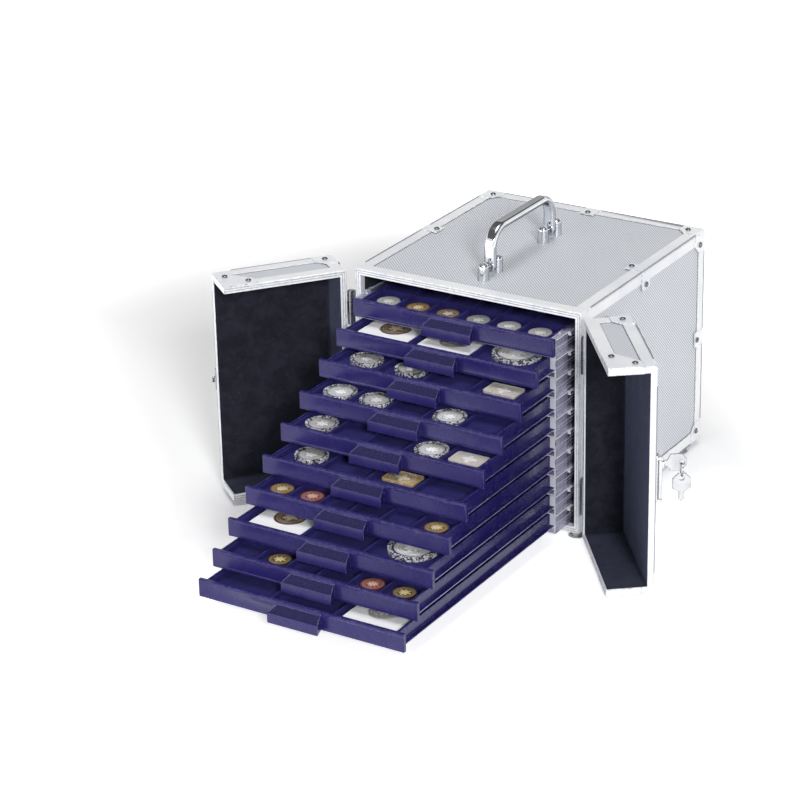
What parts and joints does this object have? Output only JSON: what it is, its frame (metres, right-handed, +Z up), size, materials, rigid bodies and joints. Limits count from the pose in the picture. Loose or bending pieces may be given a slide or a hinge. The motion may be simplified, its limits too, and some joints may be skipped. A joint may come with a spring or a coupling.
{
  "type": "coin case",
  "caption": "Metal-edged carrying case with two hinged doors, a folding top handle and stacked coin boxes whose velour-lined trays slide out.",
  "frame": {"origin": "Centre of the case's underside, in the plane of its lower edge profiles; the feet reach 5 mm below it.", "axes": "+X to the right and +Z up as seen from the front; the doors and trays open towards -Y."},
  "size_m": [0.5439, 0.6122, 0.3018],
  "materials": {
    "clad_board": "board clad in pale silver laminate with a fine diagonal emboss",
    "profile_aluminium": "satin anodised extrusion",
    "cap_metal": "bright pressed steel",
    "lining_velvet": "near-black velvet on thin foam",
    "foot_rubber": "matt black",
    "clear_plastic": "clear smoky polystyrene",
    "tray_plastic": "glossy dark indigo, slightly see-through",
    "navy_velour": "flocked navy velour",
    "coin_metal": "struck metal in silver, gold and copper tones",
    "capsule_plastic": "clear capsules round struck metal",
    "holder_card": "white holders round struck metal",
    "hinge_steel": "bright zinc plate",
    "chrome": "polished chrome plate",
    "barrel_brass": "nickel-plated brass",
    "key_steel": "nickel-plated steel"
  },
  "bodies": {
    "case": {"top_panel": "clad_board", "bottom_panel": "clad_board", "side_panels": "clad_board", "back_panel": "clad_board", "case_lining": "lining_velvet", "case_profiles": "profile_aluminium", "corner_caps": "cap_metal", "edge_clamps": "cap_metal", "feet": "foot_rubber", "box_shells": "clear_plastic", "case_hinge_leaves": "hinge_steel", "handle_posts": "chrome"},
    "handle": {"handle_grip": "chrome"},
    "left_door": {"left_door_shell": "clad_board", "left_door_profiles": "profile_aluminium", "left_door_lining": "lining_velvet", "left_door_caps": "cap_metal", "left_door_hinge_leaves": "hinge_steel", "door_catch": "chrome"},
    "right_door": {"right_door_shell": "clad_board", "right_door_profiles": "profile_aluminium", "right_door_lining": "lining_velvet", "right_door_caps": "cap_metal", "right_door_hinge_leaves": "hinge_steel", "lock_body": "chrome"},
    "lever": {"lock_lever": "chrome"},
    "key": {"lock_barrel": "barrel_brass", "lock_key": "key_steel", "spare_key": "key_steel"},
    "drawer_01": {"tray_01": "tray_plastic", "tray_insert_01": "navy_velour", "coins_01": "coin_metal"},
    "drawer_02": {"tray_02": "tray_plastic", "tray_insert_02": "navy_velour", "coins_02": "holder_card"},
    "drawer_03": {"tray_03": "tray_plastic", "tray_insert_03": "navy_velour", "coins_03": "capsule_plastic"},
    "drawer_04": {"tray_04": "tray_plastic", "tray_insert_04": "navy_velour", "coins_04": "capsule_plastic"},
    "drawer_05": {"tray_05": "tray_plastic", "tray_insert_05": "navy_velour", "coins_05": "capsule_plastic"},
    "drawer_06": {"tray_06": "tray_plastic", "tray_insert_06": "navy_velour", "coins_06": "capsule_plastic"},
    "drawer_07": {"tray_07": "tray_plastic", "tray_insert_07": "navy_velour", "coins_07": "coin_metal"},
    "drawer_08": {"tray_08": "tray_plastic", "tray_insert_08": "navy_velour", "coins_08": "holder_card"},
    "drawer_09": {"tray_09": "tray_plastic", "tray_insert_09": "navy_velour", "coins_09": "coin_metal"},
    "drawer_10": {"tray_10": "tray_plastic", "tray_insert_10": "navy_velour", "coins_10": "holder_card"}
  },
  "joints": [
    {"name": "drawer_01_slide", "type": "slide", "parent": "case", "child": "drawer_01", "axis": [0, -1, 0], "range_m": [0, 0.291]},
    {"name": "drawer_02_slide", "type": "slide", "parent": "case", "child": "drawer_02", "axis": [0, -1, 0], "range_m": [-0.0335, 0.2575]},
    {"name": "drawer_03_slide", "type": "slide", "parent": "case", "child": "drawer_03", "axis": [0, -1, 0], "range_m": [-0.0672, 0.2238]},
    {"name": "drawer_04_slide", "type": "slide", "parent": "case", "child": "drawer_04", "axis": [0, -1, 0], "range_m": [-0.1044, 0.1866]},
    {"name": "drawer_05_slide", "type": "slide", "parent": "case", "child": "drawer_05", "axis": [0, -1, 0], "range_m": [-0.1398, 0.1512]},
    {"name": "drawer_06_slide", "type": "slide", "parent": "case", "child": "drawer_06", "axis": [0, -1, 0], "range_m": [-0.1738, 0.1172]},
    {"name": "drawer_07_slide", "type": "slide", "parent": "case", "child": "drawer_07", "axis": [0, -1, 0], "range_m": [-0.2057, 0.0853]},
    {"name": "drawer_08_slide", "type": "slide", "parent": "case", "child": "drawer_08", "axis": [0, -1, 0], "range_m": [-0.2374, 0.0536]},
    {"name": "drawer_09_slide", "type": "slide", "parent": "case", "child": "drawer_09", "axis": [0, -1, 0], "range_m": [-0.2659, 0.0251]},
    {"name": "drawer_10_slide", "type": "slide", "parent": "case", "child": "drawer_10", "axis": [0, -1, 0], "range_m": [-0.291, 0]},
    {"name": "left_door_hinge", "type": "hinge", "parent": "case", "child": "left_door", "pos_m": [-0.1379, -0.1412, 0.12225], "axis": [0, 0, -1], "range_deg": [-58.2, 51.8]},
    {"name": "right_door_hinge", "type": "hinge", "parent": "case", "child": "right_door", "pos_m": [0.1379, -0.1412, 0.12225], "axis": [0, 0, 1], "range_deg": [-58.2, 51.8]},
    {"name": "handle_hinge", "type": "hinge", "parent": "case", "child": "handle", "pos_m": [0, -0.0255, 0.2543], "axis": [0, 1, 0], "range_deg": [-85, 85]},
    {"name": "lock_lever_hinge", "type": "hinge", "parent": "right_door", "child": "lever", "pos_m": [0.25992, -0.21315, 0.1223], "axis": [0, 0, -1], "range_deg": [0, 110]},
    {"name": "lock_barrel_turn", "type": "hinge", "parent": "lever", "child": "key", "pos_m": [0.25269, -0.20751, 0.135], "axis": [0.7859, 0.6184, 0], "range_deg": [0, 90]}
  ]
}
